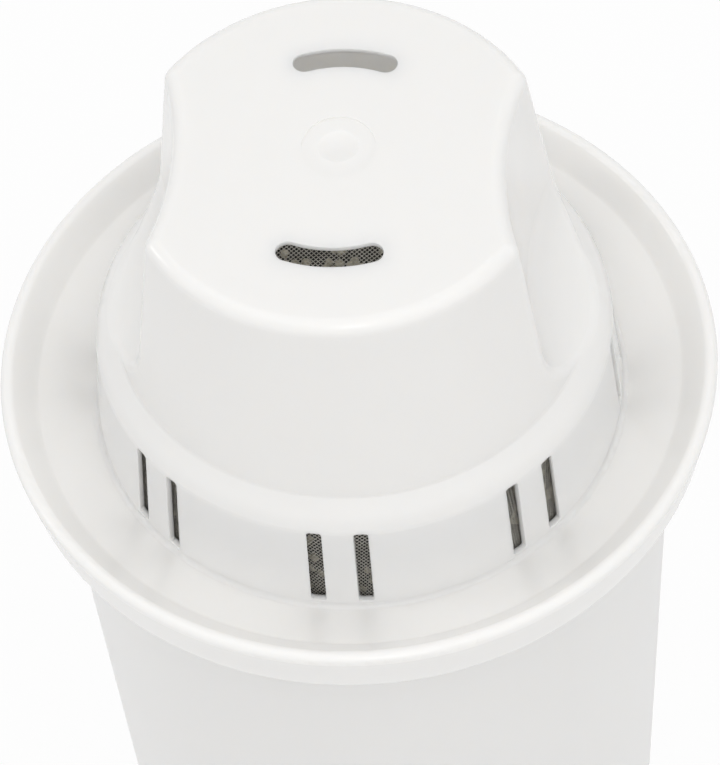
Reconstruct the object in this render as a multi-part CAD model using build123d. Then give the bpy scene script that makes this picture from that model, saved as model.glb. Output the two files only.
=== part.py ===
from build123d import *
import os
from math import asin, atan2, cos, degrees, radians, sin, tan

os.makedirs("parts", exist_ok=True)

# A drop-in filter cartridge for a water pitcher. Lengths are millimetres.
# The origin is the middle of the base and +Z runs up the cartridge's axis.
# The two vents lie on the Y axis and the two finger scallops on the X axis.

# Cup: the tapered tube with the outlets in its floor
cup_height = 83.5
cup_seat_width = 5.7
cup_taper = 2.6
cup_wall = 1.4
cup_floor = 1.6
foot_ring_height = 1.2
foot_ring_width = 2.2
cup_base_round = 1.2
cup_inner_round = 1.0
outlet_count = 12
outlet_width = 1.6
outlet_inner_radius = 8.0
outlet_margin = 6.1

# Cap: flange, slotted ring, shoulder and grip head, moulded as one
cap_wall = 1.3
rim_overhang = 4.3
rim_rise = 5.2
lip_radius = 0.75
lip_drop = 0.35
band_slope = 45.0
band_drop = 1.9
skirt_depth = 5.5
skirt_angle = 10.0
skirt_wall = 1.2
skirt_round = 0.5
knee_round = 2.0
dish_depth = 5.8
ring_radius = 25.0
ring_height = 12.8
ring_foot_round = 0.4
shoulder_width = 2.2
shoulder_rise = 2.45
shoulder_round = 0.8
head_base_round = 0.5
head_lean = 3.2
head_height = 21.85
head_round = 1.4
ledge_width = 0.8
ledge_drop = 0.8
land_overhang = 0.5
plug_depth = 5.3
plug_wall = 1.25
plug_clearance = 0.1

# Finger scallops, cut into both sides of the head
scallop_depth = 4.35
scallop_radius = 32.0
scallop_draft = 6.0
scallop_foot_round = 7.0
scallop_foot_drop = 0.4

# Vents and gate mark in the head's top
vent_margin = 7.95
vent_width = 2.2
vent_half_angle = 24.4
vent_land = 0.5
vent_relief = 0.8
gate_radius = 2.1
gate_depth = 0.45
gate_ring_radius = 3.4
gate_ring_depth = 0.1

# Inlet slots in the ring, in pairs
slot_pairs = 8
slot_width = 1.2
slot_pitch = 4.38
slot_bottom = 1.1
slot_top = 0.1
slot_round = 0.3
slot_inset = 0.5

# Meshes and filling
mesh_thickness = 0.3
mesh_clearance = 0.1
mesh_round = 0.5
fill_clearance = 0.3

# Drawing aids: how far cutters run past a face, and a bearing that no slot or vent crosses
cut_past = 1.0
seam_bearing = 67.5

# Radii that follow from the ring's, outwards to the cup and the rim and inwards to the head
cup_mouth_radius = ring_radius + cup_seat_width
cup_base_radius = cup_mouth_radius - cup_taper
outlet_outer_radius = cup_base_radius - outlet_margin
rim_radius = cup_mouth_radius + rim_overhang
ring_bore = ring_radius - cap_wall
head_base_radius = ring_radius - shoulder_width
head_top_radius = head_base_radius - head_lean
scallop_reach = head_top_radius - scallop_depth
vent_radius = head_top_radius - vent_margin

# Levels that follow from the sizes above
floor_z = foot_ring_height + cup_floor
plug_z = cup_height - plug_depth
rim_z = cup_height + rim_rise
skirt_z = rim_z - skirt_depth
foot_z = rim_z - dish_depth
knee_z = rim_z - band_drop
shoulder_z = foot_z + ring_height
ledge_z = shoulder_z - ledge_drop
head_z = shoulder_z + shoulder_rise
top_z = head_z + head_height

# The rounded lip: its centre, where the dish's steep band meets it and where the skirt leaves it
lip_r = rim_radius - lip_radius
lip_z = rim_z - lip_drop
band_angle = radians(band_slope)
band_end_r = lip_r - lip_radius * sin(band_angle)
band_end_z = lip_z + lip_radius * cos(band_angle)
skirt_lean = radians(skirt_angle)
skirt_start_r = lip_r + lip_radius * cos(skirt_lean)
skirt_start_z = lip_z - lip_radius * sin(skirt_lean)

# The dish: a shallow cone from the ring's foot out to the knee, and its slope
knee_r = band_end_r - (band_end_z - knee_z) / tan(band_angle)
dish_rise = (knee_z - foot_z) / (knee_r - ring_radius)
dish_thickness = cap_wall / cos(atan2(knee_z - foot_z, knee_r - ring_radius))


def dish_under(r):
    """Height of the dish's underside at a radius."""
    return foot_z - dish_thickness + (r - ring_radius) * dish_rise


def cup_radius(z):
    """Outer radius of the tapered cup at a height."""
    return cup_base_radius + (cup_mouth_radius - cup_base_radius) * z / cup_height


def cup_bore(z):
    """Inner radius of the cup at a height."""
    return cup_radius(z) - cup_wall


def plug_radius(z):
    """Outer radius of the cap's plug, which follows the cup's taper."""
    return cup_bore(z) - plug_clearance


def plug_bore(z):
    """Inner radius of the cap's plug at a height."""
    return plug_radius(z) - plug_wall


def nearest(profile, r, z):
    """The corner of a flat profile that lies nearest to a radius and a height."""
    return min(profile.vertices(), key=lambda v: (v.X - r) ** 2 + (v.Y - z) ** 2)


def rounded(profile, corners):
    """Round corners of a profile, given as (radius, height, rounding)."""
    for r, z, size in corners:
        profile = fillet(nearest(profile, r, z), size)
    return profile


def turned(profile):
    """Turn a profile of radii and heights round the Z axis."""
    return revolve(Plane.XZ.rotated((0, 0, seam_bearing)) * profile, Axis.Z)


def outline(*points):
    """A flat profile with straight sides, from its corners."""
    return make_face(Polyline(*points, close=True))


def disc(radius, bottom, thickness):
    """A flat round plate."""
    return turned(outline((0, bottom), (radius, bottom), (radius, bottom + thickness), (0, bottom + thickness)))


def make_cup():
    """The cup: tapered wall, raised foot ring, and a floor with a star of outlets."""
    foot_bore = cup_base_radius - foot_ring_width
    profile = outline(
        (0, foot_ring_height),
        (foot_bore, foot_ring_height),
        (foot_bore, 0),
        (cup_base_radius, 0),
        (cup_mouth_radius, cup_height),
        (cup_bore(cup_height), cup_height),
        (cup_bore(floor_z), floor_z),
        (0, floor_z),
    )
    profile = rounded(profile, [
        (cup_base_radius, 0, cup_base_round),
        (cup_bore(floor_z), floor_z, cup_inner_round),
    ])
    cup = turned(profile)
    outlet_length = outlet_outer_radius - outlet_inner_radius
    outlet_middle = (outlet_outer_radius + outlet_inner_radius) / 2
    outlet = extrude(SlotOverall(outlet_length, outlet_width), floor_z + cut_past)
    outlets = [spot * Pos(outlet_middle, 0, 0) * outlet for spot in PolarLocations(0, outlet_count)]
    return cup - outlets


def make_outside():
    """The cap as one filled body: head, shoulder, ring, flange, skirt and plug."""
    skirt_r = skirt_start_r - (skirt_start_z - skirt_z) * tan(skirt_lean)
    skirt_in = skirt_r - skirt_wall
    groove = (dish_under(skirt_in) - skirt_z) / (1 - tan(skirt_lean) * dish_rise)
    land_r = cup_mouth_radius + land_overhang
    profile = make_face(
        Polyline(
            (0, plug_z),
            (0, top_z),
            (head_top_radius, top_z),
            (head_base_radius, head_z),
            (ring_radius, shoulder_z),
            (ring_radius, foot_z),
            (knee_r, knee_z),
            (band_end_r, band_end_z),
        )
        + ThreePointArc(
            (band_end_r, band_end_z),
            (lip_r, lip_z + lip_radius),
            (skirt_start_r, skirt_start_z),
        )
        + Polyline(
            (skirt_start_r, skirt_start_z),
            (skirt_r, skirt_z),
            (skirt_in, skirt_z),
            (skirt_in + groove * tan(skirt_lean), skirt_z + groove),
            (land_r, dish_under(land_r)),
            (land_r, cup_height),
            (plug_radius(cup_height), cup_height),
            (plug_radius(plug_z), plug_z),
            (0, plug_z),
        )
    )
    profile = rounded(profile, [
        (head_base_radius, head_z, head_base_round),
        (ring_radius, shoulder_z, shoulder_round),
        (ring_radius, foot_z, ring_foot_round),
        (knee_r, knee_z, knee_round),
        (skirt_r, skirt_z, skirt_round),
        (skirt_in, skirt_z, skirt_round),
    ])
    return turned(profile)


def make_inside():
    """The space inside the cap, open at the plug, with the ledge that the inlet mesh seats on."""
    floor = foot_z - cap_wall
    profile = outline(
        (0, plug_z - cut_past),
        (plug_bore(plug_z - cut_past), plug_z - cut_past),
        (plug_bore(cup_height), dish_under(plug_bore(cup_height))),
        (ring_radius + (dish_thickness - cap_wall) / dish_rise, floor),
        (ring_bore, floor),
        (ring_bore, ledge_z),
        (ring_bore - ledge_width, ledge_z),
        (head_base_radius - cap_wall, head_z - cap_wall),
        (head_top_radius - cap_wall, top_z - cap_wall),
        (0, top_z - cap_wall),
    )
    return turned(profile)


def make_scallops(wall):
    """The two bodies that cut the finger scallops, swollen by a wall for the cap's inside."""
    bottom = head_z - scallop_foot_drop - wall
    lean = tan(radians(scallop_draft))
    reach = scallop_radius + wall
    foot_reach = reach - (top_z - bottom) * lean
    profile = outline(
        (0, bottom),
        (foot_reach, bottom),
        (reach + cut_past * lean, top_z + cut_past),
        (0, top_z + cut_past),
    )
    profile = rounded(profile, [(foot_reach, bottom, scallop_foot_round + wall)])
    scallop = Pos(scallop_reach + scallop_radius, 0, 0) * turned(profile)
    return [scallop, mirror(scallop, Plane.YZ)]


def is_head_edge(edge):
    """Whether an edge runs round the head's top or along a finger scallop."""
    box = edge.bounding_box()
    on_top = abs(box.min.Z - top_z) < 0.01 and abs(box.max.Z - top_z) < 0.01
    on_scallop = edge.geom_type == GeomType.BSPLINE and box.min.Z > shoulder_z
    return on_top or on_scallop


def make_vents():
    """Two curved vents through the head's top, relieved from below to leave a thin land."""
    round_angle = degrees(asin(vent_width / 2 / vent_radius))
    half = vent_half_angle - round_angle
    cutters = []
    for bearing in (90, 270):
        path = CenterArc((0, 0), vent_radius, bearing - half, 2 * half)
        vent = extrude(SlotArc(path, vent_width), cap_wall + 2 * cut_past)
        relief = extrude(SlotArc(path, vent_width + 2 * vent_relief), cap_wall - vent_land + cut_past)
        cutters.append(Pos(0, 0, top_z - cap_wall - cut_past) * vent)
        cutters.append(Pos(0, 0, top_z - cap_wall - cut_past) * relief)
    return cutters


def make_gate():
    """The moulding gate's dimple and the faint ring round it."""
    ball = (gate_radius ** 2 + gate_depth ** 2) / (2 * gate_depth)
    dimple = Pos(0, 0, top_z + ball - gate_depth) * Sphere(ball)
    return [dimple, disc(gate_ring_radius, top_z - gate_ring_depth, cut_past)]


def make_slots():
    """The inlet slots: pairs of parallel cuts through the ring, spaced evenly round it."""
    low = foot_z + slot_bottom
    high = shoulder_z - slot_top
    length = cap_wall + slot_inset + cut_past
    opening = RectangleRounded(slot_width, high - low, slot_round)
    slot = extrude(Plane.YZ * opening, length)
    cutters = []
    for spot in PolarLocations(0, slot_pairs):
        for side in (-slot_pitch / 2, slot_pitch / 2):
            cutters.append(spot * Pos(ring_bore - slot_inset, side, (low + high) / 2) * slot)
    return cutters


def make_cap():
    """The cap in one moulding: a hollow grip head, slotted ring, flange, skirt and plug."""
    shell = make_outside() - make_scallops(0)
    shell = shell.fillet(head_round, [edge for edge in shell.edges() if is_head_edge(edge)])
    inside = make_inside() - make_scallops(cap_wall)
    return shell - inside - make_vents() - make_gate() - make_slots()


def make_inlet_mesh():
    """The inlet mesh: woven cloth pressed to a cup that lines the ring and seats under the ledge."""
    outer = ring_bore - mesh_clearance
    inner = outer - mesh_thickness
    low = foot_z - cap_wall
    crown = ledge_z - mesh_thickness
    profile = outline(
        (0, crown),
        (inner, crown),
        (inner, low),
        (outer, low),
        (outer, ledge_z),
        (0, ledge_z),
    )
    return turned(rounded(profile, [
        (inner, crown, mesh_round - mesh_thickness),
        (outer, ledge_z, mesh_round),
    ]))


def outlet_mesh_radius():
    """The outlet mesh stays inside the round at the foot of the cup's wall."""
    return cup_bore(floor_z) - cup_inner_round - mesh_clearance


def make_outlet_mesh():
    """The woven mesh that lies on the cup's floor, over the outlets."""
    return disc(outlet_mesh_radius(), floor_z, mesh_thickness)


def make_media():
    """The granular filling, from the outlet mesh up to just under the inlet mesh."""
    bed = floor_z + mesh_thickness
    edge = bed + cup_inner_round
    neck = foot_z - cap_wall - fill_clearance
    neck_r = ring_bore - mesh_clearance - mesh_thickness - fill_clearance
    top = ledge_z - mesh_thickness - fill_clearance
    return turned(outline(
        (0, bed),
        (outlet_mesh_radius(), bed),
        (cup_bore(edge) - fill_clearance, edge),
        (cup_bore(plug_z) - fill_clearance, plug_z - fill_clearance),
        (plug_bore(plug_z) - fill_clearance, plug_z - fill_clearance),
        (plug_bore(cup_height) - fill_clearance, neck),
        (neck_r, neck),
        (neck_r, top),
        (0, top),
    ))


pieces = {
    "cup": make_cup(),
    "cap": make_cap(),
    "inlet_mesh": make_inlet_mesh(),
    "outlet_mesh": make_outlet_mesh(),
    "filter_media": make_media(),
}

for name, piece in pieces.items():
    export_step(piece, f"parts/{name}.step")
    print(name, f"{piece.volume:.0f} mm3")
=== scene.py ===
# %% [markdown]
# A drop-in cartridge for a water pitcher, seen from above. It is moulded in white polypropylene:
# a grip head with two finger scallops and two curved vents, a slotted ring, a dished flange and a
# tapered cup. Behind the slots and under the vents lies a woven mesh, and behind that the filling
# of carbon and resin grains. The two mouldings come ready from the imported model. This lesson
# gives them their finish, weaves the meshes, pours the filling, and lights and frames the whole.

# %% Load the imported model
import math
import random

import bmesh
import bpy
from mathutils import Matrix, Vector, noise


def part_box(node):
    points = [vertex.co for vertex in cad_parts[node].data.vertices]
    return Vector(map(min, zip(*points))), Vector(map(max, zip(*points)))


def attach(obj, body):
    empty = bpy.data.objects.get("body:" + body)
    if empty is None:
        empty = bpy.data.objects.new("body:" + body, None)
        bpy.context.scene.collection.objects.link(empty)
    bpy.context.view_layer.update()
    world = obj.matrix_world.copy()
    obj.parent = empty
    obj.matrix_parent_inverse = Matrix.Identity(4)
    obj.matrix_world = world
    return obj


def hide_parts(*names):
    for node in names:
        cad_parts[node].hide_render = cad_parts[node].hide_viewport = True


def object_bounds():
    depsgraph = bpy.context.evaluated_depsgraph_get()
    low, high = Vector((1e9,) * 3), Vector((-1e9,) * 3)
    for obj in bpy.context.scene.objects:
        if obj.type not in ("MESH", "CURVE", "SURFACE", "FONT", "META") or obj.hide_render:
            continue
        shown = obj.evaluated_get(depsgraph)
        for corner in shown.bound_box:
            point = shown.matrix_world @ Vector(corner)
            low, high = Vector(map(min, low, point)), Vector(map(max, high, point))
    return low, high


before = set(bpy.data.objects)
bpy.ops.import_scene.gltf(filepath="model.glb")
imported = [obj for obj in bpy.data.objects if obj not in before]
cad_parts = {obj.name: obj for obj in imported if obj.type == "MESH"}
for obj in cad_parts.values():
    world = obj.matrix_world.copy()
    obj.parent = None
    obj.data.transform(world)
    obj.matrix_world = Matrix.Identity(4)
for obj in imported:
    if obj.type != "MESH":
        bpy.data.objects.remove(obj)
cad_low, cad_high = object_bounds()
MM = 0.001
print("nodes:", sorted(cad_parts))
print("size in mm:", [round(side / MM, 1) for side in cad_high - cad_low])

# %% [markdown]
# Blender shades in linear light, while colours are easiest to note as the hex values of a screen.
# One function turns one into the other. Materials are built from nodes, and one more function
# adds a node, fills in its settings and wires it up, so that each material reads as a short list.
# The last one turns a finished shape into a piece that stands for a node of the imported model. Its
# object stays at the origin, and its place is in its mesh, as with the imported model's own nodes.

# %% Helpers for colours, nodes and pieces


def linear(hex_colour, alpha=1.0):
    """A screen colour such as "#F0EFED" as the linear numbers that shaders take."""
    parts = [int(hex_colour[i:i + 2], 16) / 255 for i in (1, 3, 5)]
    light = [part / 12.92 if part <= 0.04045 else ((part + 0.055) / 1.055) ** 2.4 for part in parts]
    return (*light, alpha)


def add_node(tree, kind, settings=None, links=None):
    """Add one node, set its properties and sockets, and link outputs of other nodes to its inputs."""
    node = tree.nodes.new(kind)
    for key, value in (settings or {}).items():
        if isinstance(key, str) and hasattr(node, key):
            setattr(node, key, value)
        else:
            node.inputs[key].default_value = value
    for key, output in (links or {}).items():
        tree.links.new(output, node.inputs[key])
    return node


def start_material(name):
    """An empty material: returns it, its node tree and its output node."""
    material = bpy.data.materials.new(name)
    material.use_nodes = True
    tree = material.node_tree
    tree.nodes.clear()
    return material, tree, tree.nodes.new("ShaderNodeOutputMaterial")


def finish_piece(name, shape, material, node, smooth):
    """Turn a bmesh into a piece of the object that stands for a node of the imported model."""
    mesh = bpy.data.meshes.new(name)
    shape.to_mesh(mesh)
    shape.free()
    mesh.materials.append(material)
    if smooth:
        mesh.shade_smooth()
    piece = bpy.data.objects.new(name, mesh)
    bpy.context.scene.collection.objects.link(piece)
    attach(piece, "root")
    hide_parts(node)
    mesh.calc_loop_triangles()
    print(name, "has", len(mesh.loop_triangles), "triangles")
    return piece


print("white on screen as linear light:", linear("#F0EFED"))

# %% [markdown]
# The camera stands a little to the right of the front vent and looks down on the cartridge from
# about 39 cm. Its place was worked out from the outlines of the flange, the ring and the head in
# a photograph of 720 by 765 pixels. A lens is a length of glass in millimetres, and the focal
# length in pixels turns into one through the width of the sensor along the picture's long side.

# %% Camera
PHOTO_HEIGHT = 765
SENSOR = 36.0
focal_pixels = 4000
camera_bearing = math.radians(8.19)
camera_reach = 229.95 * MM
camera_height = 403.75 * MM
camera_pitch = math.radians(54.24)
camera_roll = math.radians(-5.71)

camera_data = bpy.data.cameras.new("camera")
camera_data.sensor_width = SENSOR
camera_data.lens = focal_pixels / PHOTO_HEIGHT * SENSOR
camera_data.clip_start = 10 * MM
camera = bpy.data.objects.new("camera", camera_data)
bpy.context.scene.collection.objects.link(camera)
camera.matrix_world = (
    Matrix.Rotation(camera_bearing, 4, "Z")
    @ Matrix.Translation((0, -camera_reach, camera_height))
    @ Matrix.Rotation(math.pi / 2 - camera_pitch, 4, "X")
    @ Matrix.Rotation(camera_roll, 4, "Z")
)
bpy.context.scene.camera = camera
print("lens in mm:", round(camera_data.lens, 1))

# %% [markdown]
# Polypropylene is a milky plastic. Light goes about a millimetre into it and comes out again
# beside where it went in, so thin walls glow, corners are soft, and the hollow head is bright
# inside. A plain diffuse surface would look like chalk, so the shader scatters light under the
# surface, red a little further than blue. The mould leaves a satin skin: the roughness drifts a
# little over the part, and the skin is faintly wavy, which breaks up the highlights on the edges.
# The cap's mould is polished finer than the cup's, so the cap is the glossier of the two.

# %% White polypropylene
PP_COLOUR = "#F4F3F1"
PP_IOR = 1.49
pp_scatter = 0.9 * MM
pp_spread = (1.0, 0.97, 0.93)
flow_length = 14 * MM
wave_length = 5 * MM
wave_height = 0.006 * MM
skin_length = 0.5 * MM
skin_height = 0.0006 * MM


def moulded_plastic(name, colour, gloss):
    """Satin moulded polypropylene. gloss is its (lowest, highest) roughness."""
    material, tree, output = start_material(name)
    place = add_node(tree, "ShaderNodeTexCoord")
    flow = add_node(
        tree,
        "ShaderNodeTexNoise",
        {"Scale": 1 / flow_length, "Detail": 3.0},
        {"Vector": place.outputs["Object"]},
    )
    roughness = add_node(
        tree, "ShaderNodeMapRange", {"To Min": gloss[0], "To Max": gloss[1]}, {"Value": flow.outputs["Fac"]}
    )
    waves = add_node(
        tree,
        "ShaderNodeTexNoise",
        {"Scale": 1 / wave_length, "Detail": 1.0},
        {"Vector": place.outputs["Object"]},
    )
    skin = add_node(
        tree,
        "ShaderNodeTexNoise",
        {"Scale": 1 / skin_length, "Detail": 2.0},
        {"Vector": place.outputs["Object"]},
    )
    wavy = add_node(
        tree, "ShaderNodeBump", {"Strength": 1.0, "Distance": wave_height}, {"Height": waves.outputs["Fac"]}
    )
    grained = add_node(
        tree,
        "ShaderNodeBump",
        {"Strength": 1.0, "Distance": skin_height},
        {"Height": skin.outputs["Fac"], "Normal": wavy.outputs["Normal"]},
    )
    shader = add_node(
        tree,
        "ShaderNodeBsdfPrincipled",
        {
            "Base Color": linear(colour),
            "IOR": PP_IOR,
            "Subsurface Weight": 1.0,
            "Subsurface Radius": pp_spread,
            "Subsurface Scale": pp_scatter,
        },
        {"Roughness": roughness.outputs["Result"], "Normal": grained.outputs["Normal"]},
    )
    tree.links.new(shader.outputs["BSDF"], output.inputs["Surface"])
    return material


cup_gloss = (0.3, 0.38)
cap_gloss = (0.2, 0.27)

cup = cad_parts["cup"]
cup.data.materials.clear()
cup.data.materials.append(moulded_plastic("white_pp_cup", PP_COLOUR, cup_gloss))
print("the cup wears", cup.data.materials[0].name)

# %% [markdown]
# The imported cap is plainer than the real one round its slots: there the ring stands upright, and
# its wall is as thick as the head's. In the photograph the ring leans, so that it leaves its
# mould, its wall is thin, its foot lies higher and its slots are wider. One rule moves each point
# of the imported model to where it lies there. The inlet mesh and the top of the filling follow the
# same rule later, so that all of them still seat on each other.

# %% A rule that leans the ring
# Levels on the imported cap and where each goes: under the foot, the foot, the slots and the head
LEVELS = [(80, 80), (81.6, 82.7), (83.3, 84.4), (84, 84.95), (95.6, 94.95), (98.15, 98.15)]
# Distances from the axis and where each goes: the bore, and the ring's inner and outer face
WALLS = [(0, 0), (21.5, 21.5), (23.7, 24.35), (25, 24.9), (26, 25.9)]
ring_radius = 25 * MM
ring_reach = 25.02 * MM
ring_top, ring_top_leant = (level * MM for level in LEVELS[4])
head_foot = LEVELS[5][0] * MM
ring_height = 10.8 * MM
ring_flare = 0.95 * MM
dish_foot = 82.9 * MM
dish_slope = 0.587
dish_wall = 1.7 * MM
foot_round = 0.9 * MM
# How far the dish's inner edge goes outwards and upwards
dish_lift = Vector((0.85, 1.1)) * MM
knee_radius = 31.6 * MM


def between(value, steps):
    """The value that belongs to one on a line of steps, given as pairs in millimetres."""
    for (low, new_low), (high, new_high) in zip(steps, steps[1:]):
        if low * MM <= value <= high * MM:
            return (new_low + (value / MM - low) / (high - low) * (new_high - new_low)) * MM
    return value


def lean_ring(point):
    """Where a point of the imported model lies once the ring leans."""
    out = point.xy.length
    level = point.z
    if out > ring_reach:
        share = (knee_radius - out) / (knee_radius - ring_radius)
        above = level - dish_foot - (out - ring_radius) * dish_slope
        if share > 0 and -dish_wall < above < foot_round:
            return Vector((*(point.xy * (1 + dish_lift.x * share / out)), level + dish_lift.y * share))
        return point.copy()
    if level < LEVELS[0][0] * MM or level > head_foot or out == 0:
        return point.copy()
    new_level = between(level, LEVELS)
    new_out = between(out, WALLS)
    if level > ring_top:
        new_out += (out - new_out) * (level - ring_top) / (head_foot - ring_top)
    else:
        new_out += ring_flare * (ring_top_leant - new_level) / ring_height * out / ring_radius
    return Vector((*(point.xy * (new_out / out)), new_level))


ring_foot = lean_ring(Vector((ring_radius, 0, dish_foot)))
print("the ring's foot goes to", [round(side / MM, 2) for side in ring_foot])

# %% [markdown]
# The slots are widened before the ring leans. They come in eight pairs of parallel cuts, so each
# corner is turned to the pair's own bearing, moved sideways and turned back. The shift is full at
# a slot's edge and fades away on both sides of it, so that no face folds over. The mark of the
# moulding gate lies a little behind the middle of the top.

# %% A rule that shapes the cap
PAIRS = 8
pair_turn = 2 * math.pi / PAIRS
slot_offset = 2.19 * MM
slot_half = 0.6 * MM
slot_growth = 0.1 * MM
slot_inner = 23 * MM
slot_outer = 26 * MM
gate_reach = 3.6 * MM
gate_level = 119.3 * MM
gate_shift = Vector((0, 1.2, 0)) * MM


def widen_slots(point):
    """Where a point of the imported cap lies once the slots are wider."""
    if not slot_inner < point.xy.length < slot_outer or point.z > head_foot:
        return point
    bearing = round(math.atan2(point.y, point.x) / pair_turn) * pair_turn
    local = Matrix.Rotation(-bearing, 3, "Z") @ point
    past = abs(local.y) - slot_offset
    share = max(0, 1 - abs(abs(past) / slot_half - 1))
    local.y += math.copysign(slot_growth * share, past * local.y)
    return Matrix.Rotation(bearing, 3, "Z") @ local


def shape_cap(point):
    """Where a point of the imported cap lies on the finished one."""
    if point.xy.length < gate_reach and point.z > gate_level:
        return point + gate_shift
    return lean_ring(widen_slots(point))


print("slots in mm:", round(2 * (slot_half + slot_growth) / MM, 2))

# %% [markdown]
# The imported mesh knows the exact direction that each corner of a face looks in, which keeps large
# faces free of dents. A corner that moves has its direction worked out again: two short steps
# along the surface are moved by the same rule, and the new direction is square to both. The steps
# start a little inside the corner's own face, so that they do not cross into its neighbours.

# %% The cap
# How long a short step is, how near two points are one, and how far inside its face a corner is
HAIR = 0.01 * MM
MERGE = 0.001 * MM
corner_inset = 0.02


def turned_normal(point, normal, rule):
    """The direction a surface looks in at a point after a rule has moved it."""
    across = normal.orthogonal().normalized()
    along = normal.cross(across)
    first = rule(point + across * HAIR) - rule(point - across * HAIR)
    second = rule(point + along * HAIR) - rule(point - along * HAIR)
    turned = first.cross(second)
    return turned.normalized() if turned.length > 0 else normal


def reshape(node, rule):
    """A merged copy of a node's mesh, moved by a rule, with each corner's direction kept as looks."""
    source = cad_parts[node].data
    body = bmesh.new()
    body.from_mesh(source)
    looks = body.loops.layers.float_vector.new("looks")
    for face in body.faces:
        middle = face.calc_center_median()
        still = all((rule(vert.co) - vert.co).length < HAIR for vert in face.verts)
        for loop in face.loops:
            normal = source.corner_normals[loop.index].vector.copy()
            if not still:
                normal = turned_normal(loop.vert.co.lerp(middle, corner_inset), normal, rule)
            loop[looks] = normal
    for vert in body.verts:
        vert.co = rule(vert.co)
    bmesh.ops.remove_doubles(body, verts=body.verts, dist=MERGE)
    return body


cap_shape = reshape("cap", shape_cap)
cap_finish = moulded_plastic("white_pp_cap", PP_COLOUR, cap_gloss)
cap = finish_piece("cap_moulding", cap_shape, cap_finish, "cap", smooth=True)
looks = cap.data.attributes["looks"]
cap.data.normals_split_custom_set([corner.vector for corner in looks.data])
cap.data.attributes.remove(cap.data.attributes["looks"])

# %% [markdown]
# The inlet mesh is a plain weave of grey plastic thread, pressed from one flat piece into a cup.
# The slots show it: beside some the threads run up and down, beside others they run aslant,
# as they must where a square weave is drawn over a round former. So the lesson does the same:
# it weaves a flat cloth of real threads, then presses it. A thread is a flattened three-sided tube
# that steps up and down from crossing to crossing. The real threads lie 0.3 mm apart. They are
# drawn a little wider apart here, so that the holes between them still show at this distance.
# Each family of threads is made in two halves, so that no piece grows too large.

# %% Weave a flat cloth
THREAD_SIDES = 3
SPARE_CROSSINGS = 6
thread_pitch = 0.35 * MM
thread_width = 0.095 * MM
thread_flatness = 0.4
thread_rise = 0.015 * MM


def gather(heap, shape):
    """Move a small shape into a larger one. It goes through a mesh, which is quick for any size."""
    carrier = bpy.data.meshes.new("carrier")
    shape.to_mesh(carrier)
    shape.free()
    heap.from_mesh(carrier)
    bpy.data.meshes.remove(carrier)


def draw_thread(pitch, crossings):
    """One long thread along X that steps down and up from crossing to crossing."""
    thread = bmesh.new()
    start = Matrix.Translation((-pitch * crossings / 2, 0, thread_rise))
    bmesh.ops.create_circle(
        thread,
        segments=THREAD_SIDES,
        radius=thread_width / math.sqrt(3),
        matrix=start @ Matrix.Scale(thread_flatness, 4, (0, 0, 1)) @ Matrix.Rotation(math.pi / 2, 4, "Y"),
    )
    rim = thread.edges[:]
    for step in range(crossings):
        grown = bmesh.ops.extrude_edge_only(thread, edges=rim)["geom"]
        tip = [part for part in grown if isinstance(part, bmesh.types.BMVert)]
        sides = [part for part in grown if isinstance(part, bmesh.types.BMEdge)]
        rim = [side for side in sides if side.verts[0] in tip and side.verts[1] in tip]
        climb = 2 * thread_rise if step % 2 else -2 * thread_rise
        bmesh.ops.translate(thread, verts=tip, vec=(pitch, 0, climb))
    return thread


def halves(pitch, longest):
    """The rows of a cloth that reaches a length on both sides of the axis, in two halves."""
    last = math.floor(longest / pitch)
    return ("near", range(-last, 0)), ("far", range(0, last + 1))


def weave(pitch, bearing, phase, reach, rows):
    """
    Rows of one family of threads at a bearing, cut to a flat cloth about the axis. reach gives how
    far the cloth goes in each direction. Phase 0 goes over where 1 goes under.
    """
    cloth = bmesh.new()
    pattern = draw_thread(pitch, 2 * len(rows) + SPARE_CROSSINGS)
    turn = Matrix.Rotation(bearing, 3, "Z")
    for row in rows:
        thread = pattern.copy()
        late = pitch if (row + phase) % 2 else 0
        bmesh.ops.translate(thread, verts=thread.verts, vec=(late, 0, 0))
        outside = []
        for vert in thread.verts:
            place = turn @ Vector((vert.co.x, row * pitch, 0))
            if place.length > reach(math.atan2(place.y, place.x)):
                outside.append(vert)
        bmesh.ops.delete(thread, geom=outside, context="VERTS")
        bmesh.ops.translate(thread, verts=thread.verts, vec=(0, row * pitch, 0))
        bmesh.ops.rotate(thread, verts=thread.verts, matrix=turn)
        bmesh.ops.holes_fill(thread, edges=[edge for edge in thread.edges if edge.is_boundary])
        bmesh.ops.recalc_face_normals(thread, faces=thread.faces)
        gather(cloth, thread)
    pattern.free()
    return cloth


print("threads in mm:", round(thread_width / MM, 3), "wide and", round(thread_pitch / MM, 2), "apart")

# %% [markdown]
# Pressing is a rule for where each point of the flat cloth goes. The middle stays flat as the
# crown. Further out the cloth bends over the former's edge and runs down its wall. There it is
# squeezed together round the wall, and where its threads lie aslant it gives and hangs lower.
# The pressed cloth then leans as the ring does.

# %% Press the cloth to a cup
mesh_low, mesh_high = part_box("inlet_mesh")
cloth_half = 0.15 * MM
bend_radius = 0.35 * MM
bias_give = 0.15
wall_radius = mesh_high.x - cloth_half
crown_level = mesh_high.z - cloth_half
crown_radius = wall_radius - bend_radius
bend_length = bend_radius * math.pi / 2
wall_length = crown_level - bend_radius - mesh_low.z
uncut_reach = crown_radius + bend_length + wall_length


def give(direction):
    """How much the cloth stretches down the wall in a direction."""
    return 1 + bias_give * math.cos(2 * direction) ** 2


def cut_line(direction):
    """How far out the flat cloth is cut in a direction, so that it ends level once pressed."""
    return crown_radius + bend_length + wall_length / give(direction)


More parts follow.
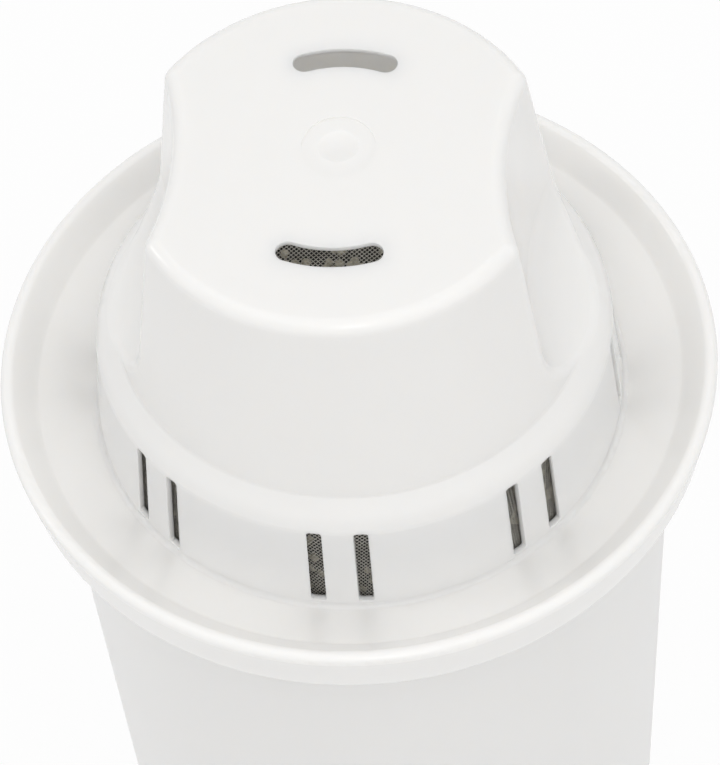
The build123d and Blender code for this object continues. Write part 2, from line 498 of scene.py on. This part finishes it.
def press(point):
    """Where a point of the flat cloth lies once the cloth is pressed over the former."""
    direction = math.atan2(point.y, point.x)
    past = math.hypot(point.x, point.y) - crown_radius
    if past <= 0:
        return Vector((point.x, point.y, crown_level + point.z))
    if past <= bend_length:
        turn = past / bend_radius
        out = crown_radius + (bend_radius + point.z) * math.sin(turn)
        level = crown_level - bend_radius + (bend_radius + point.z) * math.cos(turn)
    else:
        out = wall_radius + point.z
        level = crown_level - bend_radius - (past - bend_length) * give(direction)
    return Vector((out * math.cos(direction), out * math.sin(direction), level))


print("flat cloth in mm:", round(2 * uncut_reach / MM, 1), "along its threads")

# %% [markdown]
# The threads are drawn polyester monofilament: smooth, grey and a little glossy, so that each
# crossing catches a point of light. Their grey is uneven by a few percent from place to place.

# %% Grey monofilament
THREAD_GREY = "#C9C6BE"
THREAD_GREY_DARK = "#A5A299"
POLYESTER_IOR = 1.57
grey_patch = 1.5 * MM


def monofilament(name):
    """Grey polyester thread."""
    material, tree, output = start_material(name)
    place = add_node(tree, "ShaderNodeTexCoord")
    patches = add_node(
        tree,
        "ShaderNodeTexNoise",
        {"Scale": 1 / grey_patch, "Detail": 2.0},
        {"Vector": place.outputs["Object"]},
    )
    grey = add_node(tree, "ShaderNodeValToRGB", links={"Fac": patches.outputs["Fac"]})
    dark, pale = grey.color_ramp.elements
    dark.color = linear(THREAD_GREY_DARK)
    dark.position = 0.3
    pale.color = linear(THREAD_GREY)
    pale.position = 0.7
    shader = add_node(
        tree,
        "ShaderNodeBsdfPrincipled",
        {"IOR": POLYESTER_IOR, "Roughness": 0.38},
        {"Base Color": grey.outputs["Color"]},
    )
    tree.links.new(shader.outputs["BSDF"], output.inputs["Surface"])
    return material


thread_finish = monofilament("grey_polyester_thread")
weave_bearing = math.radians(45)
for name, bearing, phase in (
    ("inlet_mesh_warp", weave_bearing, 0),
    ("inlet_mesh_weft", weave_bearing + math.pi / 2, 1),
):
    for half, rows in halves(thread_pitch, uncut_reach):
        threads = weave(thread_pitch, bearing, phase, cut_line, rows)
        for vert in threads.verts:
            vert.co = lean_ring(press(vert.co))
        finish_piece(f"{name}_{half}", threads, thread_finish, "inlet_mesh", smooth=True)

# %% [markdown]
# The outlet mesh on the cup's floor is the same cloth, flat and a little coarser. It shows only
# from below, through the star of outlets.

# %% Outlet mesh
outlet_low, outlet_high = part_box("outlet_mesh")
outlet_pitch = 0.5 * MM
outlet_reach = outlet_high.x - thread_width

for name, bearing, phase in (("outlet_mesh_warp", 0, 0), ("outlet_mesh_weft", math.pi / 2, 1)):
    for half, rows in halves(outlet_pitch, outlet_reach):
        threads = weave(outlet_pitch, bearing, phase, lambda direction: outlet_reach, rows)
        bmesh.ops.translate(threads, verts=threads.verts, vec=(0, 0, (outlet_low.z + outlet_high.z) / 2))
        finish_piece(f"{name}_{half}", threads, thread_finish, "outlet_mesh", smooth=True)

# %% [markdown]
# Activated carbon is charred shell, crushed and sieved. Its chips are black, matt and full of
# pits, with a little grey dust on them, so they swallow the light that falls through the meshes.

# %% Activated carbon
CARBON_BLACK = "#1B1A19"
CARBON_DUST = "#34322F"
carbon_chip = 0.9 * MM


def black_carbon(name):
    """Activated carbon: matt black chips with a little grey dust on them."""
    material, tree, output = start_material(name)
    place = add_node(tree, "ShaderNodeTexCoord")
    chips = add_node(
        tree, "ShaderNodeTexVoronoi", {"Scale": 1 / carbon_chip}, {"Vector": place.outputs["Object"]}
    )
    dust = add_node(tree, "ShaderNodeValToRGB", links={"Fac": chips.outputs["Color"]})
    dark, pale = dust.color_ramp.elements
    dark.color = linear(CARBON_BLACK)
    dark.position = 0.2
    pale.color = linear(CARBON_DUST)
    pale.position = 0.9
    pits = add_node(
        tree, "ShaderNodeBump", {"Strength": 0.6, "Distance": 0.2 * MM}, {"Height": chips.outputs["Distance"]}
    )
    shader = add_node(
        tree,
        "ShaderNodeBsdfPrincipled",
        {"Roughness": 0.72},
        {"Base Color": dust.outputs["Color"], "Normal": pits.outputs["Normal"]},
    )
    tree.links.new(shader.outputs["BSDF"], output.inputs["Surface"])
    return material


carbon_finish = black_carbon("activated_carbon")
print("chips in mm:", round(carbon_chip / MM, 1))

# %% [markdown]
# The filling is a packed bed of grains. Only its skin can be seen, as dark and pale spots behind
# the meshes. So its heart is a copy of the model's own solid, drawn in a little, and real grains
# cover it where a mesh lets them show: under the crown, behind the slots and over the outlets.

# %% The heart of the bed
bed_low, bed_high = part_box("filter_media")
grain_depth = 0.45 * MM


def drawn_in(node, depth):
    """A copy of a node's solid with every face moved inwards by a depth."""
    body = bmesh.new()
    body.from_mesh(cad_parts[node].data)
    bmesh.ops.remove_doubles(body, verts=body.verts, dist=MERGE)
    body.normal_update()
    moved = [vert.co - vert.normal * vert.calc_shell_factor() * depth for vert in body.verts]
    for vert, place in zip(body.verts, moved):
        vert.co = place
    return body


bed_heart = drawn_in("filter_media", grain_depth)
for vert in bed_heart.verts:
    vert.co = lean_ring(vert.co)
finish_piece("filter_bed", bed_heart, carbon_finish, "filter_media", smooth=False)

# %% [markdown]
# Grains are spread evenly by the golden angle, as seeds are in a sunflower: each lies a fixed
# turn on from the last one, and so none line up. On the crown and the floor the radius grows
# with the root of the count, and on the wall the height grows steadily. Then each grain is
# nudged a little by a random number, whose seed is fixed so that every run gives the same bed.

# %% Places for the grains
GOLDEN_TURN = math.pi * (3 - math.sqrt(5))
grain_spacing = 0.9 * MM
grain_radius = 0.62 * MM
neck_clearance = 0.6 * MM
neck_radius = mesh_high.x - neck_clearance
nudge_share = 0.25
pile = random.Random(7)


def nudge():
    """A small random step."""
    return pile.uniform(-nudge_share, nudge_share) * grain_spacing


def disc_places(radius, level, depth):
    """Places spread over a flat disc, each sunk by a depth along Z."""
    count = round(math.pi * radius ** 2 / grain_spacing ** 2)
    for index in range(count):
        out = radius * math.sqrt((index + 0.5) / count)
        turn = index * GOLDEN_TURN
        yield Vector((out * math.cos(turn) + nudge(), out * math.sin(turn) + nudge(), level - depth))


def wall_places(radius, low, high, depth):
    """Places spread over an upright round wall, each sunk by a depth towards the axis."""
    count = round(2 * math.pi * radius * (high - low) / grain_spacing ** 2)
    for index in range(count):
        turn = index * GOLDEN_TURN + nudge() / radius
        level = low + (high - low) * (index + 0.5) / count
        out = radius - depth
        yield Vector((out * math.cos(turn), out * math.sin(turn), level + nudge()))


grain_sink = grain_radius * 0.5
places = [
    *disc_places(neck_radius - grain_radius, bed_high.z, grain_sink),
    *wall_places(neck_radius, mesh_low.z + grain_radius, bed_high.z - grain_radius, grain_sink),
    *disc_places(outlet_high.x - grain_radius, bed_low.z, -grain_sink),
]
print(len(places), "grains")

# %% [markdown]
# Ion exchange resin is cast as tiny beads. They are pale, smooth and slightly clear, so behind the
# mesh they read as light grey patches between the black holes. Each bead has its own tint.

# %% Ion exchange resin
RESIN_PALE = "#CFC9B6"
RESIN_DEEP = "#A39C86"
RESIN_IOR = 1.5
bead_radius = 0.5 * MM


def ion_resin(name):
    """Ion exchange resin: pale, slightly clear beads."""
    material, tree, output = start_material(name)
    place = add_node(tree, "ShaderNodeTexCoord")
    tints = add_node(
        tree,
        "ShaderNodeTexNoise",
        {"Scale": 1 / bead_radius, "Detail": 1.0},
        {"Vector": place.outputs["Object"]},
    )
    tint = add_node(tree, "ShaderNodeValToRGB", links={"Fac": tints.outputs["Fac"]})
    dark, pale = tint.color_ramp.elements
    dark.color = linear(RESIN_DEEP)
    dark.position = 0.3
    pale.color = linear(RESIN_PALE)
    pale.position = 0.7
    shader = add_node(
        tree,
        "ShaderNodeBsdfPrincipled",
        {"IOR": RESIN_IOR, "Roughness": 0.3},
        {"Base Color": tint.outputs["Color"]},
    )
    tree.links.new(shader.outputs["BSDF"], output.inputs["Surface"])
    return material


resin_finish = ion_resin("ion_exchange_resin")
print("beads in mm:", round(2 * bead_radius / MM, 1))

# %% [markdown]
# A carbon grain is a crushed chip, so it starts as an icosahedron and each of its corners is
# pushed in or out. A resin grain is a bead, a sphere of few faces. A noise over the bed decides
# which kind lies where, so that some beads lie alone and others in small groups.

# %% Carbon chips and resin beads
BEAD_AROUND = 7
BEAD_ACROSS = 5
patch_length = 1.0 * MM
bead_share = 0.16
chip_crush = (0.75, 1.05)
bead_sizes = (0.85, 1.1)


def any_turn():
    """A turn by a random angle about a random axis."""
    axis = Vector((pile.uniform(-1, 1), pile.uniform(-1, 1), pile.uniform(-1, 1)))
    return Matrix.Rotation(pile.uniform(0, 2 * math.pi), 4, axis)


def lay_chip(heap, pattern, place):
    """Add one crushed chip of carbon."""
    chip = pattern.copy()
    for vert in chip.verts:
        vert.co *= pile.uniform(*chip_crush)
    bmesh.ops.transform(chip, matrix=Matrix.Translation(place) @ any_turn(), verts=chip.verts)
    gather(heap, chip)


def lay_bead(heap, pattern, place):
    """Add one round bead of resin."""
    bead = pattern.copy()
    size = Matrix.Scale(pile.uniform(*bead_sizes), 4)
    bmesh.ops.transform(bead, matrix=Matrix.Translation(place) @ any_turn() @ size, verts=bead.verts)
    gather(heap, bead)


chip_pattern, bead_pattern = bmesh.new(), bmesh.new()
bmesh.ops.create_icosphere(chip_pattern, subdivisions=1, radius=grain_radius)
bmesh.ops.create_uvsphere(bead_pattern, u_segments=BEAD_AROUND, v_segments=BEAD_ACROSS, radius=bead_radius)
chips, beads = bmesh.new(), bmesh.new()
for place in map(lean_ring, places):
    if noise.noise(place / patch_length) > bead_share:
        lay_bead(beads, bead_pattern, place)
    else:
        lay_chip(chips, chip_pattern, place)
chip_pattern.free()
bead_pattern.free()
finish_piece("carbon_chips", chips, carbon_finish, "filter_media", smooth=False)
finish_piece("resin_beads", beads, resin_finish, "filter_media", smooth=True)

# %% [markdown]
# The backdrop is plain white, as in a light tent. Two things have to differ there: what the camera
# sees, which is white, and what lights the object, which is dimmer. One node tells them apart.
# Mirrored and refracted views count as seen, so that reflections show the same white.

# %% What is seen and what only lights


def white_for_views(tree):
    """A node that is 1 for camera, mirrored and refracted rays, and 0 for all other light."""
    path = add_node(tree, "ShaderNodeLightPath")
    mirrored = add_node(
        tree,
        "ShaderNodeMath",
        {"operation": "MAXIMUM"},
        {0: path.outputs["Is Camera Ray"], 1: path.outputs["Is Glossy Ray"]},
    )
    return add_node(
        tree,
        "ShaderNodeMath",
        {"operation": "MAXIMUM"},
        {0: mirrored.outputs["Value"], 1: path.outputs["Is Transmission Ray"]},
    )


# %% [markdown]
# The floor is a pale matt sheet of paper. Where it is seen, it is mixed with plain white, so that
# it reads as white and still takes a faint shadow. All other light falls on the matt sheet itself.

# %% Floor
FLOOR_WHITE = "#F2F2F2"
floor_size = 3.0
paper_share = 0.93


def white_paper(name):
    """Matt white paper that looks plain white in every view."""
    material, tree, output = start_material(name)
    paper = add_node(tree, "ShaderNodeBsdfDiffuse", {"Color": linear(FLOOR_WHITE)})
    glow = add_node(tree, "ShaderNodeEmission", {"Color": (1, 1, 1, 1), "Strength": 1.0})
    viewed = white_for_views(tree)
    share = add_node(
        tree, "ShaderNodeMath", {"operation": "MULTIPLY", 1: paper_share}, {0: viewed.outputs["Value"]}
    )
    mixed = add_node(
        tree,
        "ShaderNodeMixShader",
        links={"Fac": share.outputs["Value"], 1: paper.outputs["BSDF"], 2: glow.outputs["Emission"]},
    )
    tree.links.new(mixed.outputs["Shader"], output.inputs["Surface"])
    return material


sheet = bmesh.new()
bmesh.ops.create_grid(sheet, x_segments=1, y_segments=1, size=floor_size / 2)
floor_mesh = bpy.data.meshes.new("floor")
sheet.to_mesh(floor_mesh)
sheet.free()
floor_mesh.materials.append(white_paper("white_paper"))
floor = bpy.data.objects.new("floor", floor_mesh)
floor.location.z = cad_low.z
bpy.context.scene.collection.objects.link(floor)
print("floor at", floor.location.z)

# %% [markdown]
# The tent's walls are the world itself: plain white to look at, and a dimmer light all round.

# %% Sky
sky_level = 0.65

world = bpy.data.worlds.new("light_tent")
world.use_nodes = True
tree = world.node_tree
tree.nodes.clear()
level = add_node(
    tree,
    "ShaderNodeMapRange",
    {"To Min": sky_level, "To Max": 1.0},
    {"Value": white_for_views(tree).outputs["Value"]},
)
sky = add_node(
    tree, "ShaderNodeBackground", {"Color": (1, 1, 1, 1)}, {"Strength": level.outputs["Result"]}
)
add_node(tree, "ShaderNodeOutputWorld", links={"Surface": sky.outputs["Background"]})
bpy.context.scene.world = world
print("the sky lights at", sky_level)

# %% [markdown]
# Two broad lamps shape the light tent, and two narrow ones draw the highlights on the edges. Each
# is placed by its bearing, counted from the camera's side, and its height, in degrees, and is
# given by how bright it looks, with white paper as 1. A last small one hangs under the head's
# roof. It stands for the light that seeps through the milky wall and goes to and fro in the white
# hollow more often than the renderer follows it, and it shows the inlet mesh through the vents.

# %% Lamps
lamp_distance = 0.7
lamp_aim = cad_high.z * 0.8
broad = 0.9
narrow = 0.08
glow_width = 14 * MM
glow_distance = 23 * MM


def add_lamp(name, bearing, height, width, level, distance=lamp_distance, aim=lamp_aim):
    """A square soft lamp that faces a point on the axis, given by its level, from a distance."""
    data = bpy.data.lights.new(name, "AREA")
    data.shape = "SQUARE"
    data.size = width
    data.energy = level * math.pi * width ** 2
    lamp = bpy.data.objects.new(name, data)
    turn = Matrix.Rotation(camera_bearing + math.radians(bearing), 4, "Z")
    tilt = Matrix.Rotation(math.pi / 2 - math.radians(height), 4, "X")
    middle = Matrix.Translation((0, 0, aim))
    lamp.matrix_world = middle @ turn @ tilt @ Matrix.Translation((0, 0, distance))
    bpy.context.scene.collection.objects.link(lamp)
    print(name, "at level", level)


for lamp in (
    ("front_lamp", 20, 45, broad, 0.38),
    ("top_lamp", 0, 89, broad, 0.5),
    ("front_streak", 0, 50, narrow, 14),
    ("left_streak", -100, 25, narrow, 12),
    ("hollow_glow", 0, 90, glow_width, 4.3, glow_distance, mesh_high.z),
):
    add_lamp(*lamp)

# %% [markdown]
# The picture is shown as the shaders give it, with no film look on top. Last, the size of the
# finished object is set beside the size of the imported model, and the frame is checked.

# %% Finish
bpy.context.scene.view_settings.view_transform = "Standard"
